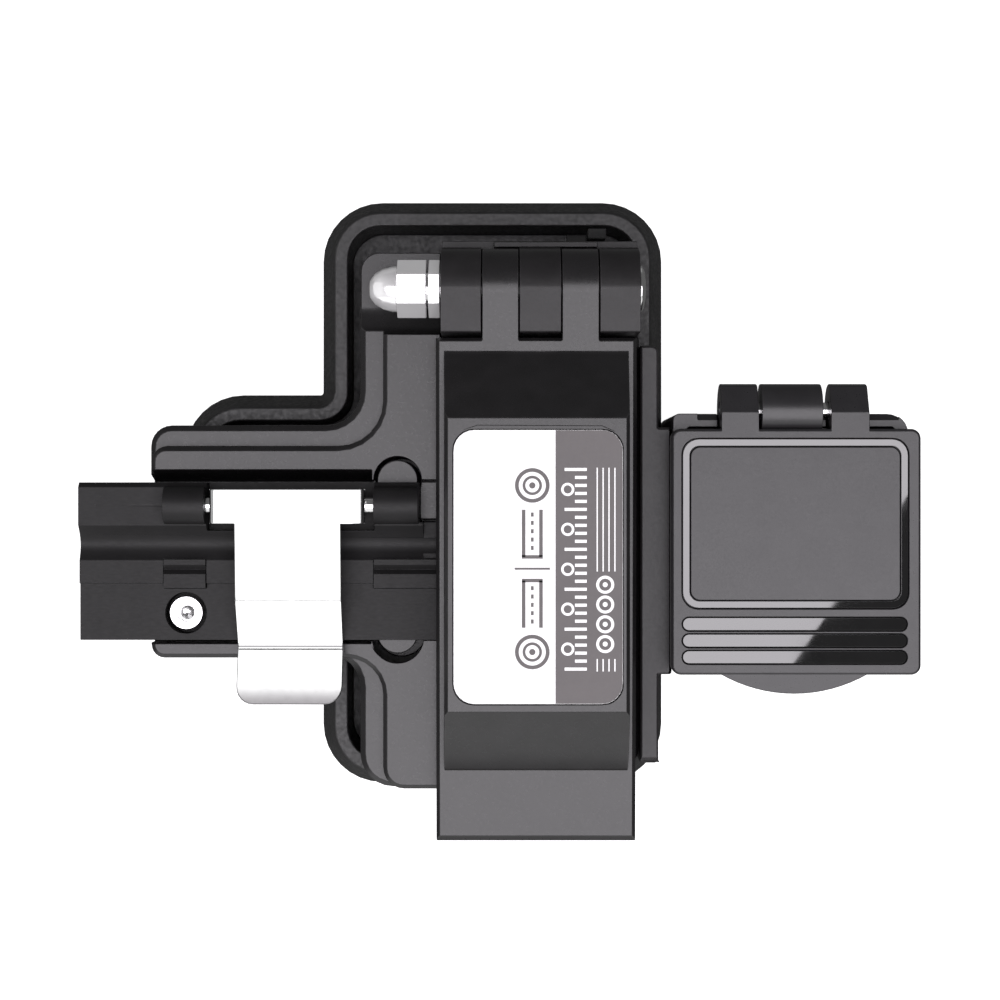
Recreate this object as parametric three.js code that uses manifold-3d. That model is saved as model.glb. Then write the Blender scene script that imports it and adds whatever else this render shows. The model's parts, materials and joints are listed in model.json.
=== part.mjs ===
// Optical fibre cleaver with a scrap-fibre collector, as an assembly of separate pieces.
// Millimetres, +Z up, +X to the collector box, +Y to the arm's hinge. The origin is the centre of the
// footprint of the whole object, at the level of the bench.
import * as THREE from "three";
import { mergeVertices } from "three/addons/utils/BufferGeometryUtils.js";
import Module from "manifold-3d";

const wasm = await Module();
wasm.setup();

// ---- driving dimensions -------------------------------------------------------------------------
const HALF_LENGTH = 62.6; // half of the overall size along X
const HALF_DEPTH = 48.95; // half of the overall size along Y
const GAP = 0.3; // play between neighbours that don't touch

const FOOT_Z = 2; // underside of the tray
const FLOOR_Z = 4.5; // inside floor of the tray, where the body stands
const RIM_Z = 16; // top of the tray's rim
const STEP_Z = 24.4; // lower terrace of the body
const DECK_Z = 27; // upper terrace of the body
const FIBRE_Z = 30; // height of the fibre
const FIBRE_Y = -8.4; // where the fibre crosses

const TRAY = { left: -27.4, right: 26, back: HALF_DEPTH, front: -42.6, wing: -49.3 };
const TRAY_WING = { back: 18.55, front: -17 };
const TRAY_CORNER = 9.3;
const RIM_WIDTH = 4.2;
const RIM_CHAMFER = { run: 2.1, rise: 5 };

const BODY = { left: -20.8, right: 21.6, back: 39.9, front: -41.75, wing: -52.8 };
const BODY_WING = { back: 13.4, front: -21.6 };
const DECK = { left: -17.2, back: 10.1, front: -21.9, wing: -52.3 };
const CAVITY = { x: [-3.6, 18], y: [-35, 26.5] }; // room for the blade carriage
const TRENCH = { x: [10, 17.5], y: [26, 41] }; // room for the arm's finger and the fork it drives
const CHANNEL_FLOOR = 20;
const POCKET = { bottom: 4.95, top: 6.57 }; // sloping wall behind the fibre guide
const STUD = { x: -15, radius: 3.1, foot: 12 };
const STUDS = [
  { name: "locating_stud_rear", y: 5, holeY: 5, hole: 3.6 },
  { name: "locating_stud_front", y: -18.1, holeY: -18.7, hole: 3.95 },
];

const HINGE = { y: 33.65, z: 30, pin: 2.5, lug: 6, knuckle: 6, front: 6.9, lean: 4, relief: 9.05 }; // the press arm's hinge
const LUGS = [
  [-8.3, -2.3],
  [3.4, 9.55],
  [15.3, 21.3],
];
const KNUCKLES = [
  [-2.14, 3.24],
  [9.71, 15.14],
];
const SCOOP = { floor: 22.3, front: 31.6, radius: 4.5 }; // hollow under the acorn nut, rounded up at the front
const BRACKET_Z = 20;

const ARM = { x: 5.86, half: 14.86, top: 35.6, under: 31.5, back: 26, front: -HALF_DEPTH };
const LIP = { back: -38.3, top: 32, under: 28.5, chamfer: 0.85 }; // top and chamfer at the front end
const COVER = { half: 13.65, topHalf: 13.3, top: 44, back: 24.1, crestBack: 13.9, crestFront: -28.57, front: -37.85 };
const WINDOW = { x: [-4.6, 17.6], y: [-26, 20] }; // opening of the arm frame under the cover
const FINGER = { x: [10.8, 13.8], reach: 14, lean: 30, half: 2.5, pin: 1, roller: 1.6 };

const BLADE = { x: 6.2, y: -1.4, z: 22, radius: 8, thick: 1.6 };
const BLADE_SLOT = { x: [4.2, 10.6], y: [-25.4, 8.2] };
const PADS = { left: [-3.2, 3.4], right: [11.2, 17.2], half: 5 };

const GUIDE = { left: -HALF_LENGTH, right: -4.4, back: 4.65, front: -19.04, shoulder: 31.2, flat: 29.3 };
const GUIDE_SCREW = { x: -46.7, y: -14.95, head: 2.5, sink: 3.1, shank: 1.5 };
const CLAMP = { y: 1.2, z: 32.4, lug: 2.8, pin: 1.2, thick: 1, bend: 1.5 };
const CLAMP_LUGS = [
  [-49.5, -43.4],
  [-18.3, -11.65],
];
const CLAMP_BAR = [-42.5, -19.5];
const CLAMP_STEM = [-38.8, -23];

const SIDE = { inner: BODY.right, outer: 24.3, flange: 26.3, top: 29.5 };
const BOX = { left: SIDE.flange, right: 61.4, back: 14.9, front: -23.2, under: 5, top: 32, wall: 2 };
const LID = { left: 25.8, right: HALF_LENGTH, back: 12.5, front: -23.8, under: 32.3, top: 36 };
const LID_HINGE = { y: 15.3, z: 32, radius: 4, pin: 1.25 };
const LID_LUGS = [
  [33.2, 38.7],
  [49.4, 55],
];
const INLAY = { left: 27.45, right: 60.7, back: 11, front: -13.95, width: 1.05, depth: 0.5 };
const BARS = { right: 60.5, width: 1.9, first: -16.3, pitch: 2.44, count: 3 };
const FEED = { x: 32.2, z: 26.7, radius: 3.3, half: 6, shaft: 1.2 };
const PINCH = { x: 32.2, z: 32.15, radius: 2, half: 5, shaft: 0.8 };

// ---- geometry helpers ---------------------------------------------------------------------------
const turned = (a, b, c) => new THREE.Matrix4().makeBasis(...[a, b, c].map((v) => new THREE.Vector3(...v)));
const YZ_TO_X = turned([0, 1, 0], [0, 0, 1], [1, 0, 0]); // a (y, z) drawing extruded along +X

// A closed three.js geometry as a solid that can be cut and joined.
function solid(geometry) {
  const plain = geometry.index ? geometry.toNonIndexed() : geometry;
  const bare = new THREE.BufferGeometry().setAttribute("position", plain.getAttribute("position"));
  const merged = mergeVertices(bare, 1e-4);
  const triVerts = new Uint32Array(merged.index.array);
  return new wasm.Manifold(
    new wasm.Mesh({ numProp: 3, vertProperties: merged.attributes.position.array, triVerts }),
  );
}

function block([x0, x1], [y0, y1], [z0, z1]) {
  const box = new THREE.BoxGeometry(x1 - x0, y1 - y0, z1 - z0);
  return solid(box.translate((x0 + x1) / 2, (y0 + y1) / 2, (z0 + z1) / 2));
}

// Round bars along each axis: from one end to the other, through the point (a, b) of the other two axes.
function rodX([x0, x1], [y, z], radius, sides = 24) {
  const bar = new THREE.CylinderGeometry(radius, radius, x1 - x0, sides).rotateZ(-Math.PI / 2);
  return solid(bar.translate((x0 + x1) / 2, y, z));
}
function rodY([y0, y1], [x, z], radius, sides = 24) {
  return solid(new THREE.CylinderGeometry(radius, radius, y1 - y0, sides).translate(x, (y0 + y1) / 2, z));
}
function rodZ([z0, z1], [x, y], radius, sides = 24) {
  const bar = new THREE.CylinderGeometry(radius, radius, z1 - z0, sides).rotateX(Math.PI / 2);
  return solid(bar.translate(x, y, (z0 + z1) / 2));
}

// A closed outline through corners [x, y, radius], each rounded to its radius.
function outline(corners, steps = 6) {
  const points = [];
  corners.forEach(([x, y, radius = 0], i) => {
    const here = new THREE.Vector2(x, y);
    const before = corners[(i + corners.length - 1) % corners.length];
    const after = corners[(i + 1) % corners.length];
    const back = new THREE.Vector2(before[0], before[1]).sub(here).normalize();
    const on = new THREE.Vector2(after[0], after[1]).sub(here).normalize();
    if (!radius) {
      points.push(here);
      return;
    }
    const half = Math.acos(THREE.MathUtils.clamp(back.dot(on), -1, 1)) / 2;
    const middle = back.clone().add(on).normalize();
    const centre = here.clone().addScaledVector(middle, radius / Math.sin(half));
    const start = here.clone().addScaledVector(back, radius / Math.tan(half)).sub(centre);
    const sweep = Math.PI - 2 * half;
    const side = Math.sign(back.x * on.y - back.y * on.x) * -1;
    for (let k = 0; k <= steps; k++) {
      const spun = start.clone().rotateAround(new THREE.Vector2(), (side * sweep * k) / steps);
      points.push(spun.add(centre));
    }
  });
  return new THREE.Shape(points);
}

function rectangle(x0, x1, y0, y1, radius = 0) {
  return [
    [x1, y1, radius],
    [x0, y1, radius],
    [x0, y0, radius],
    [x1, y0, radius],
  ];
}

// A plan outline raised from z0 to z1, with an optional chamfer along its top edge.
function raised(corners, [z0, z1], chamfer = null, steps = 6) {
  const shape = outline(corners, steps);
  if (!chamfer) {
    return solid(new THREE.ExtrudeGeometry(shape, { depth: z1 - z0, bevelEnabled: false }).translate(0, 0, z0));
  }
  const { run, rise } = chamfer;
  const deep = new THREE.ExtrudeGeometry(shape, {
    depth: z1 - z0,
    bevelThickness: rise,
    bevelSize: run,
    bevelOffset: -run,
    bevelSegments: 1,
  }).translate(0, 0, z0 - rise);
  return solid(deep).intersect(block([-90, 90], [-90, 90], [z0, z1]));
}

// A side view drawn in (y, z), extruded between two x values.
function profile(corners, [x0, x1], steps = 6) {
  const drawn = new THREE.ExtrudeGeometry(outline(corners, steps), { depth: x1 - x0, bevelEnabled: false });
  return solid(drawn.applyMatrix4(YZ_TO_X).translate(x0, 0, 0));
}

// An (x, z) outline extruded along Y, wide enough for every piece.
function across(corners) {
  const drawn = new THREE.ExtrudeGeometry(outline(corners, 4), { depth: 120, bevelEnabled: false });
  return solid(drawn.rotateX(Math.PI / 2).translate(0, 60, 0));
}

// A turned piece: its profile [radius, along] spun about the X axis through (y, z).
function turnedX(points, [y, z], sides = 24) {
  const lathe = new THREE.LatheGeometry(points.map((p) => new THREE.Vector2(...p)), sides);
  return solid(lathe.rotateZ(-Math.PI / 2).translate(0, y, z));
}

const union = (...solids) => solids.reduce((a, b) => a.add(b));
const cut = (body, ...tools) => tools.reduce((a, b) => a.subtract(b), body);

// ---- base ---------------------------------------------------------------------------------------
const BASE_SCREWS = [
  [-12, 30],
  [-12, -27],
  [19.8, 20],
  [19.8, -24],
];
const FEET = [
  [-19.5, 41],
  [18.5, 41],
  [-19.5, -35],
  [18.5, -35],
];

function trayCorners(inset, innerCorner) {
  const t = TRAY;
  const w = TRAY_WING;
  const r = TRAY_CORNER - inset;
  return [
    [t.right - inset, t.back - inset, r],
    [t.left + inset, t.back - inset, r],
    [t.left + inset, w.back - inset, innerCorner],
    [t.wing + inset, w.back - inset, r],
    [t.wing + inset, w.front + inset, r],
    [t.left + inset, w.front + inset, innerCorner],
    [t.left + inset, t.front + inset, r],
    [t.right - inset, t.front + inset, r],
  ];
}

function baseTray() {
  const shell = raised(trayCorners(0, 0.5), [FOOT_Z, RIM_Z], RIM_CHAMFER, 8);
  const pocket = raised(trayCorners(RIM_WIDTH, 4.4), [FLOOR_Z, RIM_Z + 1], null, 8);
  const screwHoles = BASE_SCREWS.map((at) =>
    union(rodZ([FOOT_Z - 1, FLOOR_Z + 1], at, 1.6, 12), rodZ([FOOT_Z - 1, FOOT_Z + 1.2], at, 3, 16)),
  );
  return cut(shell, pocket, ...screwHoles);
}

function baseScrew() {
  const head = rodZ([FOOT_Z + 0.2, FOOT_Z + 1.2], [0, 0], 2.7, 16);
  const shank = rodZ([FOOT_Z + 1.2, 12], [0, 0], 1.4, 12);
  return cut(union(head, shank), rodZ([FOOT_Z - 1, FOOT_Z + 0.9], [0, 0], 1.2, 6));
}

function foot() {
  const profilePoints = [
    [0, 0],
    [4.2, 0],
    [4.6, 0.5],
    [4.6, FOOT_Z],
    [0, FOOT_Z],
  ];
  const lathe = new THREE.LatheGeometry(profilePoints.map((p) => new THREE.Vector2(...p)), 24);
  return solid(lathe.rotateX(Math.PI / 2));
}

function guideChannel() {
  const wide = profile(
    [
      [-19.7, CHANNEL_FLOOR],
      [POCKET.bottom, CHANNEL_FLOOR],
      [POCKET.top, DECK_Z],
      [POCKET.top, 40],
      [-19.7, 40],
    ],
    [BODY.wing - 9, -18.9],
  );
  const middle = block([-19, -11.6], [-19.25, 5], [CHANNEL_FLOOR, 40]);
  const narrow = block([-11.7, GUIDE.right + GAP], [-19.25, -0.9], [CHANNEL_FLOOR, 40]);
  const studHoles = STUDS.map(({ holeY, hole }) => rodZ([STUD.foot, 40], [STUD.x, holeY], hole, 40));
  const seam = block([-11.7, -3], [4.75, 5.05], [DECK_Z - 1, 40]);
  return union(wide, middle, narrow, seam, ...studHoles);
}

function mainBody() {
  const b = BODY;
  const w = BODY_WING;
  const d = DECK;
  const lower = raised(rectangle(-20.3, b.right, -38, b.back, 5), [FLOOR_Z, RIM_Z + 1]);
  const terrace = raised(
    [
      [b.right, b.back],
      [b.left, b.back, 2.8],
      [b.left, w.back, 5.2],
      [b.wing, w.back, 3.2],
      [b.wing, w.front, 2],
      [b.left, w.front, 5],
      [b.left, b.front, 5],
      [b.right, b.front, 7],
    ],
    [RIM_Z + 0.02, STEP_Z],
    { run: 0.8, rise: 0.8 },
  );
  const deck = raised(
    [
      [b.right, b.back],
      [d.left, b.back, 2],
      [d.left, d.back, 6.9],
      [d.wing, d.back, 2.2],
      [d.wing, d.front, 2],
      [d.left, d.front, 5.6],
      [d.left, b.front, 3.2],
      [b.right, b.front, 7],
    ],
    [STEP_Z - 1, DECK_Z],
    { run: 0.6, rise: 0.6 },
  );
  const scoop = profile(
    [
      [b.back + 1, SCOOP.floor],
      [b.back + 1, 40],
      [SCOOP.front - SCOOP.radius, 40],
      [SCOOP.front - SCOOP.radius, SCOOP.floor, SCOOP.radius],
    ],
    [-30, LUGS[0][0] - GAP],
    12,
  );
  const bracketSeat = block([LUGS[0][0] - GAP, b.right + 1], [HINGE.y - HINGE.front - GAP, b.back + 1], [BRACKET_Z, 40]);
  const cavity = block(CAVITY.x, CAVITY.y, [FLOOR_Z - 1, 22.5]);
  const trench = block(TRENCH.x, TRENCH.y, [FLOOR_Z - 1, BRACKET_Z]);
  const slot = block(BLADE_SLOT.x, BLADE_SLOT.y, [20, 30]);
  const fingerRoom = block([FINGER.x[0] - 0.5, FINGER.x[1] + 0.5], [24.8, 27], [BRACKET_Z - 1, 25.2]);
  const screwHoles = BASE_SCREWS.map((at) => rodZ([FLOOR_Z - 1, 12.5], at, 1.5, 12));
  const guideScrewHole = rodZ([RIM_Z - 1, 22], [GUIDE_SCREW.x, GUIDE_SCREW.y], GUIDE_SCREW.shank + 0.1, 12);
  const plateScrewHoles = PLATE_SCREWS.map((y) => rodX([18.4, b.right + 1], [y, 23], 1.05, 12));
  return cut(
    union(lower, terrace, deck),
    scoop,
    bracketSeat,
    guideChannel(),
    cavity,
    trench,
    slot,
    fingerRoom,
    guideScrewHole,
    ...screwHoles,
    ...plateScrewHoles,
  );
}

function hingeBracket() {
  const front = HINGE.y - HINGE.front;
  const base = block([LUGS[0][0], LUGS[2][1]], [front, BODY.back], [BRACKET_Z, HINGE.z]);
  const ledge = block([LUGS[0][0], LUGS[2][1]], [BODY.back, 41.2], [BRACKET_Z, 26.6]);
  const stop = profile(
    [
      [BODY.back + 0.2, 26.6],
      [41.2, 26.6],
      [40.9, 28.6],
      [BODY.back + 0.2, 28.6],
    ],
    [-0.4, 15.2],
  );
  const lean = THREE.MathUtils.degToRad(HINGE.lean);
  const crest = [HINGE.y - HINGE.lug * Math.sin(lean), HINGE.z + HINGE.lug * Math.cos(lean)];
  const noseZ = crest[1] - (crest[0] - front) * Math.tan(lean);
  const lugs = LUGS.map((span) =>
    union(
      rodX(span, [HINGE.y, HINGE.z], HINGE.lug, 40),
      profile(
        [
          [HINGE.y, HINGE.z - 3],
          [HINGE.y, HINGE.z],
          crest,
          [front, noseZ, 0.4],
          [front, HINGE.z - 3],
        ].reverse(),
        span,
        2,
      ),
    ),
  );
  const gaps = [
    [LUGS[0][1], LUGS[1][0]],
    [LUGS[1][1], LUGS[2][0]],
  ];
  const reliefs = gaps.map((span) =>
    union(rodX(span, [HINGE.y, HINGE.z], HINGE.knuckle + 0.5, 40), block(span, [20, 40.2], [HINGE.z, 40])),
  );
  const bore = rodX([-20, 30], [HINGE.y, HINGE.z], HINGE.pin + 0.05, 32);
  const slotX = [FINGER.x[0] - 0.5, FINGER.x[1] + 0.5];
  const fingerSlot = union(block(slotX, [20, 45], [BRACKET_Z - 1, 25]), block(slotX, [20, 39.8], [24, HINGE.z]));
  return cut(union(base, ledge, stop, ...lugs), ...reliefs, bore, fingerSlot);
}

function hingeBolt() {
  const shaft = rodX([-15.5, 21.4], [HINGE.y, HINGE.z], HINGE.pin, 32);
  const head = turnedX(
    [
      [0, 21.35],
      [3.5, 21.35],
      [3.5, 21.7],
      [3, 22.05],
      [1.8, 22.3],
      [0, 22.4],
    ],
    [HINGE.y, HINGE.z],
    32,
  );
  return union(shaft, head);
}

const NUT_RADIUS = 4.4; // across corners of an M5 nut, halved

const NUT_TURN = THREE.MathUtils.degToRad(4); // how far the tightened nuts' top flats lean to the front

// A six-sided bar along X with one flat facing up, threaded onto the hinge bolt.
function hexNut([x0, x1]) {
  const hex = new THREE.CylinderGeometry(NUT_RADIUS, NUT_RADIUS, x1 - x0, 6).rotateZ(-Math.PI / 2);
  return solid(hex.rotateX(Math.PI / 2 + NUT_TURN).translate((x0 + x1) / 2, HINGE.y, HINGE.z));
}

function jamNut() {
  return cut(hexNut([-10.2, -8.45]), rodX([-12, 0], [HINGE.y, HINGE.z], HINGE.pin + 0.05, 32));
}

function acornNut() {
  const dome = turnedX(
    [
      [0, -19.2],
      [1.3, -19],
      [2.4, -18.2],
      [3.1, -17],
      [3.45, -15.6],
      [3.5, -14.8],
      [3.5, -14],
      [0, -14],
    ],
    [HINGE.y, HINGE.z],
    32,
  );
  const bore = rodX([-16, 0], [HINGE.y, HINGE.z], HINGE.pin + 0.05, 32);
  return cut(union(hexNut([-14.9, -10.5]), dome), bore);
}

// ---- fibre guide --------------------------------------------------------------------------------
const INSERTS = [
  ["vgroove_insert_outer", [-49.95, -43.65]],
  ["vgroove_insert_inner", [-18.45, GUIDE.right]],
];
const RIDGE = { back: -7, front: -10.5 };
const INSERT_Y = [-11.2, -6.9];
const MAGNET = { x: -31, y: -14.6, radius: 2.2 };

function fibreGuide() {
  const g = GUIDE;
  const valley = [];
  const sunk = 1.5;
  for (let k = 0; k <= 8; k++) {
    const t = k / 8;
    const y = THREE.MathUtils.lerp(-1.8, RIDGE.back, t);
    const z = THREE.MathUtils.lerp(g.shoulder, FIBRE_Z, t) - sunk * Math.sin(Math.PI * t);
    valley.push([y, z]);
  }
  const bar = profile(
    [
      [g.back, CHANNEL_FLOOR],
      [g.back, g.shoulder - 0.7],
      [g.back - 0.7, g.shoulder],
      ...valley,
      [RIDGE.front, FIBRE_Z],
      [RIDGE.front, g.flat],
      [g.front, g.flat],
      [g.front, CHANNEL_FLOOR],
    ].reverse(),
    [g.left, g.right],
  );
  const lugs = CLAMP_LUGS.map((span) =>
    union(
      rodX(span, [CLAMP.y, CLAMP.z], CLAMP.lug, 32),
      block(span, [CLAMP.y - CLAMP.lug, CLAMP.y + CLAMP.lug], [30, CLAMP.z]),
    ),
  );
  const cornerNotch = block([-11.6, 0], [-1.3, 10], [CHANNEL_FLOOR - 1, 40]);
  const lowShoulder = block([-11, 0], [-7, 0], [29.4, 40]);
  const clampRoom = block([CLAMP_LUGS[0][1], CLAMP_LUGS[1][0]], [-2.6, 6], [27.4, 40]);
  const inserts = INSERTS.map(([, [x0, x1]]) =>
    block([x0 - 0.05, x1 + 0.05], [INSERT_Y[0] - 0.05, INSERT_Y[1] + 0.05], [27.8, 40]),
  );
  const sink = rodZ([26, 40], [GUIDE_SCREW.x, GUIDE_SCREW.y], GUIDE_SCREW.sink, 32);
  const shank = rodZ([CHANNEL_FLOOR - 1, 30], [GUIDE_SCREW.x, GUIDE_SCREW.y], GUIDE_SCREW.shank + 0.1, 12);
  const magnet = rodZ([27.2, 40], [MAGNET.x, MAGNET.y], MAGNET.radius + 0.05, 24);
  const studs = STUDS.map(({ y }) =>
    rodZ([CHANNEL_FLOOR - 1, DECK_Z + 0.4], [STUD.x, y], STUD.radius + 0.35, 32),
  );
  const pin = rodX([-60, 0], [CLAMP.y, CLAMP.z], CLAMP.pin + 0.05, 20);
  return cut(
    union(bar, ...lugs),
    cornerNotch,
    lowShoulder,
    clampRoom,
    ...inserts,
    sink,
    shank,
    magnet,
    ...studs,
    pin,
  );
}

function vGrooveInsert([x0, x1]) {
  const top = FIBRE_Z + 0.3;
  const depth = 0.7;
  return profile(
    [
      [INSERT_Y[1], 27.8],
      [INSERT_Y[1], top],
      [FIBRE_Y + depth, top],
      [FIBRE_Y, top - depth],
      [FIBRE_Y - depth, top],
      [INSERT_Y[0], top],
      [INSERT_Y[0], 27.8],
    ].reverse(),
    [x0, x1],
  );
}

function guideScrew() {
  const at = [GUIDE_SCREW.x, GUIDE_SCREW.y];
  const head = rodZ([26, 29.1], at, GUIDE_SCREW.head, 32);
  const shank = rodZ([16.5, 26], at, GUIDE_SCREW.shank, 12);
  const drillPoint = new THREE.ConeGeometry(1.2, 0.75, 24).rotateX(-Math.PI / 2).translate(...at, 27.1);
  return cut(union(head, shank), rodZ([27.4, 30], at, 1.4, 6), solid(drillPoint));
}

function locatingStud(y) {
  return raised(circle(STUD.x, y, STUD.radius, 40), [STUD.foot, DECK_Z], { run: 0.2, rise: 0.2 });
}

function circle(x, y, radius, sides) {
  return Array.from({ length: sides }, (_, k) => {
    const a = (2 * Math.PI * k) / sides;
    return [x + radius * Math.cos(a), y + radius * Math.sin(a)];
  });
}

// ---- steel clamp --------------------------------------------------------------------------------
// Top face of the bent plate, from the hinge to the finger tab.
const CLAMP_BENDS = [
  [3.6, 35.6],
  [-1.5, 35.6],
  [-12.8, 34.5],
  [-19.9, 30.2],
  [-28.4, 33.4],
];

function bentStrip(points, thick, [x0, x1]) {
  const normals = points.slice(1).map(([y, z], i) => {
    const [py, pz] = points[i];
    return new THREE.Vector2(z - pz, py - y).normalize();
  });
  const over = [];
  const under = [];
  points.forEach(([y, z], i) => {
    const a = normals[Math.max(0, i - 1)];
    const b = normals[Math.min(normals.length - 1, i)];
    const mean = a.clone().add(b).normalize();
    const reach = thick / mean.dot(a);
    const turn = a.cross(b);
    const inner = turn === 0 ? 0 : CLAMP.bend;
    over.push([y, z, inner && inner + (turn > 0 ? thick : 0)]);
    under.push([y - mean.x * reach, z - mean.y * reach, inner && inner + (turn > 0 ? 0 : thick)]);
  });
  return profile([...over, ...under.reverse()], [x0, x1]);
}

function clampPlate() {
  const [barStart, barEnd] = CLAMP_BAR;
  const bar = bentStrip(CLAMP_BENDS.slice(0, 2), CLAMP.thick, CLAMP_BAR);
  const stem = bentStrip(CLAMP_BENDS, CLAMP.thick, CLAMP_STEM);
  const tabPlan = raised(
    [
      [CLAMP_STEM[1], 5],
      [CLAMP_STEM[0], 5],
      [CLAMP_STEM[0], -28.4, 2.6],
      [CLAMP_STEM[1], -28.4, 2.6],
    ],
    [20, 45],
  );
  const ears = [
    [barStart, barStart + CLAMP.thick],
    [barEnd - CLAMP.thick, barEnd],
  ].map((span) =>
    union(
      rodX(span, [CLAMP.y, CLAMP.z], 2.35, 24),
      block(span, [CLAMP.y - 2.35, CLAMP.y + 2.35], [CLAMP.z, 35.2]),
    ),
  );
  const hole = rodX([-50, 0], [CLAMP.y, CLAMP.z], CLAMP.pin + 0.08, 20);
  const bentDown = across([
    [barStart, 20],
    [barEnd, 20],
    [barEnd, CLAMP_BENDS[0][1], 0.9],
    [barStart, CLAMP_BENDS[0][1], 0.9],
  ]);
  return cut(union(bar, stem.intersect(tabPlan), ...ears).intersect(bentDown), hole);
}

function clampPad() {
  return profile(
    [
      [-4.8, 30.4],
      [-4.8, 34.2],
      [-12.2, 33.5],
      [-12.2, 30.4],
    ].reverse(),
    [-36.6, -25.2],
  );
}

// ---- press arm ----------------------------------------------------------------------------------
function fingerTip() {
  const lean = THREE.MathUtils.degToRad(FINGER.lean);
  return [HINGE.y + FINGER.reach * Math.sin(lean), HINGE.z - FINGER.reach * Math.cos(lean)];
}

// The arm frame's top is one flat that falls from ARM.top at the hinge to LIP.top at the front.
const ARM_FALL = Math.atan2(ARM.top - LIP.top, ARM.back - ARM.front);
const armTopAt = (y) => ARM.top - (ARM.back - y) * Math.tan(ARM_FALL);

function armFrame() {
  const a = ARM;
  const span = [a.x - a.half, a.x + a.half];
  const length = (a.back - a.front) / Math.cos(ARM_FALL);
  const chamfer = LIP.chamfer;
  const sheet = raised(rectangle(...span, -length - 1, 0, 0), [-10, 0], { run: 0.5, rise: 0.7 })
    .rotate([THREE.MathUtils.radToDeg(ARM_FALL), 0, 0])
    .translate([0, a.back, a.top]);
  const plate = profile(
    [
      [a.back, a.under],
      [a.back, a.top + 1],
      [a.front + chamfer, a.top + 1],
      [a.front + chamfer, armTopAt(a.front + chamfer)],
      [a.front, LIP.top - 1.1],
      [a.front, LIP.under, 0.5],
      [LIP.back + 2, LIP.under],
      [-27, a.under],
    ].reverse(),
    span,
    3,
  ).intersect(sheet);
  const knuckles = KNUCKLES.map((k) =>
    union(
      rodX(k, [HINGE.y, HINGE.z], HINGE.knuckle, 40),
      profile(
        [
          [a.back - 1, a.under],
          [HINGE.y, a.under],
          [HINGE.y, armTopAt(HINGE.y)],
          [a.back - 1, armTopAt(a.back - 1)],
        ],
        k,
      ),
    ),
  );
  const lugReliefs = LUGS.map(([x0, x1]) => rodX([x0 - 0.4, x1 + 0.15], [HINGE.y, HINGE.z], HINGE.relief, 64));
  const [tipY, tipZ] = fingerTip();
  const lean = THREE.MathUtils.degToRad(FINGER.lean);
  const across = [FINGER.half * Math.cos(lean), FINGER.half * Math.sin(lean)];
  const finger = union(
    rodX(FINGER.x, [tipY, tipZ], FINGER.half, 24),
    profile(
      [
        [HINGE.y - across[0], HINGE.z - across[1]],
        [tipY - across[0], tipZ - across[1]],
        [tipY + across[0], tipZ + across[1]],
        [HINGE.y + across[0], HINGE.z + across[1]],
      ],
      FINGER.x,
    ),
  );
  const bore = rodX([-20, 30], [HINGE.y, HINGE.z], HINGE.pin + 0.1, 32);
  const pinHole = rodX([0, 20], [tipY, tipZ], FINGER.pin + 0.05, 16);
  const window = block(WINDOW.x, WINDOW.y, [a.under - 1, a.top + 1]);
  return cut(union(cut(plate, ...lugReliefs), ...knuckles, finger), bore, pinHole, window);
}

function armCover() {
  const c = COVER;
  const seat = (y, up = 0.02) => [y, armTopAt(y) + up];
  const side = profile(
    [
      seat(c.back),
      seat(c.back - 0.7, 0.35),
      [c.crestBack, c.top, 0.5],
      [c.crestFront, c.top, 0.5],
      seat(c.front, 0.9),
      seat(LIP.back),
    ].reverse(),
    [ARM.x - 20, ARM.x + 20],
    2,
  );
  const width = across([
    [ARM.x - c.half, LIP.top - 4],
    [ARM.x + c.half, LIP.top - 4],
    [ARM.x + c.half, ARM.top],
    [ARM.x + c.topHalf + 0.1, c.top - 0.7],
    [ARM.x + c.topHalf - 0.4, c.top],
    [ARM.x - c.topHalf + 0.4, c.top],
    [ARM.x - c.topHalf - 0.1, c.top - 0.7],
    [ARM.x - c.half, ARM.top],
  ]);
  const hollow = profile(
    [
      [WINDOW.y[1], LIP.top - 2],
      [WINDOW.y[1], ARM.top + 2],
      [c.crestBack - 1.5, c.top - 1.8],
      [c.crestFront + 2, c.top - 1.8],
      [c.crestFront + 2, LIP.top - 2],
    ].reverse(),
    WINDOW.x,
  );
  const labelSeat = raised(labelCorners(0.1), [c.top - 0.5, c.top + 1]);
  return cut(side.intersect(width), hollow, labelSeat);
}

function labelCorners(grow) {
  return rectangle(-6.2 - grow, 18.2 + grow, -27.4 - grow, 12.1 + grow, 3);
}

function labelPlate() {
  return raised(labelCorners(0), [COVER.top - 0.5, COVER.top - 0.05]);
}

const CLAMP_BLOCK = { x: [-4.2, 17.2], y: [-16, 0], z: [32, 42.15] };
const ANVIL = { x: [5, 7.4], y: [-10, -6.8], tip: 30.6, head: 1 };

function grown({ x, y }, margin, z) {
  return block([x[0] - margin, x[1] + margin], [y[0] - margin, y[1] + margin], z);
}

function upperClampBlock() {
  const { x, y, z } = CLAMP_BLOCK;
  const way = grown(ANVIL, 0.2, [20, 35]);
  const headRoom = grown(ANVIL, ANVIL.head + 0.2, [33.95, 36.6]);
  const springWell = rodZ([30, 38.6], [6.2, FIBRE_Y], 1.5, 20);
  return cut(raised(rectangle(x[0], x[1], y[0], y[1], 1.2), z), way, headRoom, springWell);
}

function anvil() {
  const { x, y, tip } = ANVIL;
  const blade = block(x, y, [tip + 0.8, 35]);
  const head = grown(ANVIL, ANVIL.head, [34, 35]);
  const nose = profile(
    [
      [y[0], tip + 0.8],
      [FIBRE_Y - 0.5, tip],
      [FIBRE_Y + 0.5, tip],
      [y[1], tip + 0.8],
    ],
    x,
  );
  return union(blade, head, nose);
}

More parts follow.
